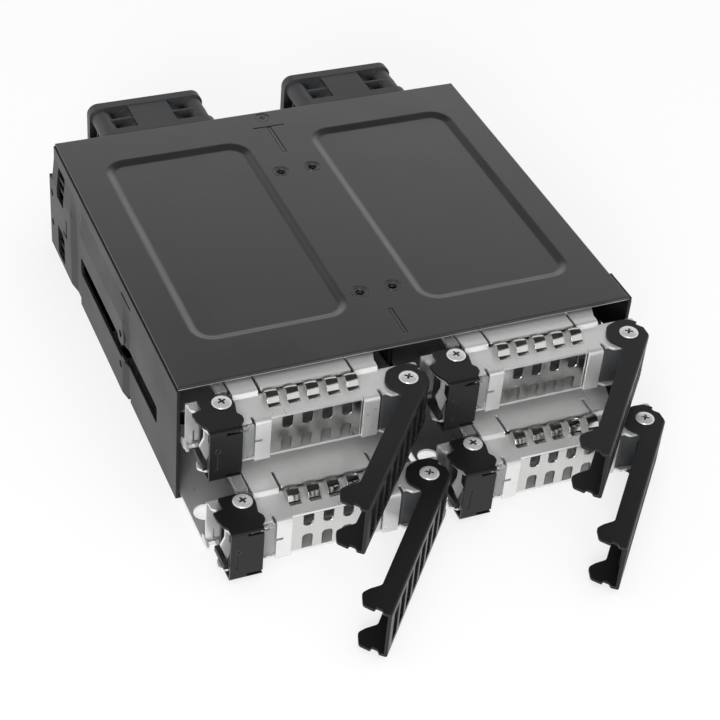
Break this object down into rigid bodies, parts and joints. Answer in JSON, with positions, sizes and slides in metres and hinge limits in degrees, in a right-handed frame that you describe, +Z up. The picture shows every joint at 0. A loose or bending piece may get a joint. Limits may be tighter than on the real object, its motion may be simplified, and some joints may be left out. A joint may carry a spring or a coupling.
{
  "type": "hot swap drive cage",
  "caption": "Sheet-metal drive cage for a half-height bay: sliding drive trays in two tiers, swing levers with sprung latches, and small fans at the back.",
  "frame": {"origin": "centre of the chassis's bottom face, midway between the side walls and between the front edge and the rear panel", "axes": "+Z up, +Y from the front towards the fans, +X to the right when the levers are faced"},
  "size_m": [0.146, 0.2286, 0.0413],
  "materials": {
    "cage_black": "satin black powder coat",
    "lever_black": "satin black",
    "tray_steel": "plated sheet",
    "spring_bright": "bright",
    "screw_steel": "plated",
    "clear_plastic": "clear",
    "block_grey": "moulded",
    "socket_black": "moulded",
    "fan_black": "moulded",
    "board": "solder mask"
  },
  "bodies": {
    "cage": {"chassis": "cage_black", "top_cover": "cage_black", "cover_fasteners": "screw_steel", "divider": "cage_black", "shelf_left": "cage_black", "shelf_right": "cage_black", "backplane": "board", "drive_connectors": "socket_black", "data_connectors": "socket_black", "power_connectors": "socket_black", "rear_panel": "cage_black", "fan_frame_left": "fan_black", "fan_frame_right": "fan_black", "fan_screws": "screw_steel"},
    "rotor_left": {"fan_rotor_left": "fan_black"},
    "rotor_right": {"fan_rotor_right": "fan_black"},
    "tray_ul": {"tray_pan_ul": "tray_steel", "tray_hood_ul": "tray_steel", "vent_panel_ul": "tray_steel", "spring_fingers_ul": "spring_bright", "tray_screws_ul": "screw_steel", "light_pipe_ul": "clear_plastic", "hinge_block_ul": "block_grey", "latch_post_ul": "socket_black"},
    "latch_ul": {"latch_ul": "lever_black"},
    "lever_ul": {"lever_ul": "lever_black"},
    "tray_ur": {"tray_pan_ur": "tray_steel", "tray_hood_ur": "tray_steel", "vent_panel_ur": "tray_steel", "spring_fingers_ur": "spring_bright", "tray_screws_ur": "screw_steel", "light_pipe_ur": "clear_plastic", "hinge_block_ur": "block_grey", "latch_post_ur": "socket_black"},
    "latch_ur": {"latch_ur": "lever_black"},
    "lever_ur": {"lever_ur": "lever_black"},
    "tray_ll": {"tray_pan_ll": "tray_steel", "tray_hood_ll": "tray_steel", "vent_panel_ll": "tray_steel", "spring_fingers_ll": "spring_bright", "tray_screws_ll": "screw_steel", "light_pipe_ll": "clear_plastic", "hinge_block_ll": "block_grey", "latch_post_ll": "socket_black"},
    "latch_ll": {"latch_ll": "lever_black"},
    "lever_ll": {"lever_ll": "lever_black"},
    "tray_lr": {"tray_pan_lr": "tray_steel", "tray_hood_lr": "tray_steel", "vent_panel_lr": "tray_steel", "spring_fingers_lr": "spring_bright", "tray_screws_lr": "screw_steel", "light_pipe_lr": "clear_plastic", "hinge_block_lr": "block_grey", "latch_post_lr": "socket_black"},
    "latch_lr": {"latch_lr": "lever_black"},
    "lever_lr": {"lever_lr": "lever_black"}
  },
  "joints": [
    {"name": "tray_slide_ul", "type": "slide", "parent": "cage", "child": "tray_ul", "axis": [0, -1, 0], "range_m": [-0.0184, 0.0816]},
    {"name": "lever_swing_ul", "type": "hinge", "parent": "tray_ul", "child": "lever_ul", "pos_m": [-0.0065, -0.0766, 0.0303], "axis": [0, 0, 1], "range_deg": [-47, 0]},
    {"name": "latch_press_ul", "type": "hinge", "parent": "tray_ul", "child": "latch_ul", "pos_m": [-0.0613, -0.072, 0.0303], "axis": [0, 0, 1], "range_deg": [-6, 0], "stiffness_Nm_per_rad": 0.05, "springref_deg": 2.86},
    {"name": "tray_slide_ur", "type": "slide", "parent": "cage", "child": "tray_ur", "axis": [0, -1, 0], "range_m": [-0.0188, 0.0812]},
    {"name": "lever_swing_ur", "type": "hinge", "parent": "tray_ur", "child": "lever_ur", "pos_m": [0.0651, -0.077, 0.0303], "axis": [0, 0, 1], "range_deg": [-47, 0]},
    {"name": "latch_press_ur", "type": "hinge", "parent": "tray_ur", "child": "latch_ur", "pos_m": [0.0103, -0.0724, 0.0303], "axis": [0, 0, 1], "range_deg": [-6, 0], "stiffness_Nm_per_rad": 0.05, "springref_deg": 2.86},
    {"name": "tray_slide_ll", "type": "slide", "parent": "cage", "child": "tray_ll", "axis": [0, -1, 0], "range_m": [-0.0378, 0.0622]},
    {"name": "lever_swing_ll", "type": "hinge", "parent": "tray_ll", "child": "lever_ll", "pos_m": [-0.0065, -0.096, 0.01025], "axis": [0, 0, 1], "range_deg": [-47, 0]},
    {"name": "latch_press_ll", "type": "hinge", "parent": "tray_ll", "child": "latch_ll", "pos_m": [-0.0613, -0.0914, 0.01025], "axis": [0, 0, 1], "range_deg": [-6, 0], "stiffness_Nm_per_rad": 0.05, "springref_deg": 2.86},
    {"name": "tray_slide_lr", "type": "slide", "parent": "cage", "child": "tray_lr", "axis": [0, -1, 0], "range_m": [-0.0356, 0.0644]},
    {"name": "lever_swing_lr", "type": "hinge", "parent": "tray_lr", "child": "lever_lr", "pos_m": [0.0651, -0.0938, 0.01025], "axis": [0, 0, 1], "range_deg": [-47, 0]},
    {"name": "latch_press_lr", "type": "hinge", "parent": "tray_lr", "child": "latch_lr", "pos_m": [0.0103, -0.0892, 0.01025], "axis": [0, 0, 1], "range_deg": [-6, 0], "stiffness_Nm_per_rad": 0.05, "springref_deg": 2.86},
    {"name": "fan_spin_left", "type": "hinge", "parent": "cage", "child": "rotor_left", "pos_m": [-0.0352, 0.0755, 0.0213], "axis": [0, 1, 0], "continuous": true},
    {"name": "fan_spin_right", "type": "hinge", "parent": "cage", "child": "rotor_right", "pos_m": [0.0352, 0.0755, 0.0213], "axis": [0, 1, 0], "continuous": true}
  ]
}
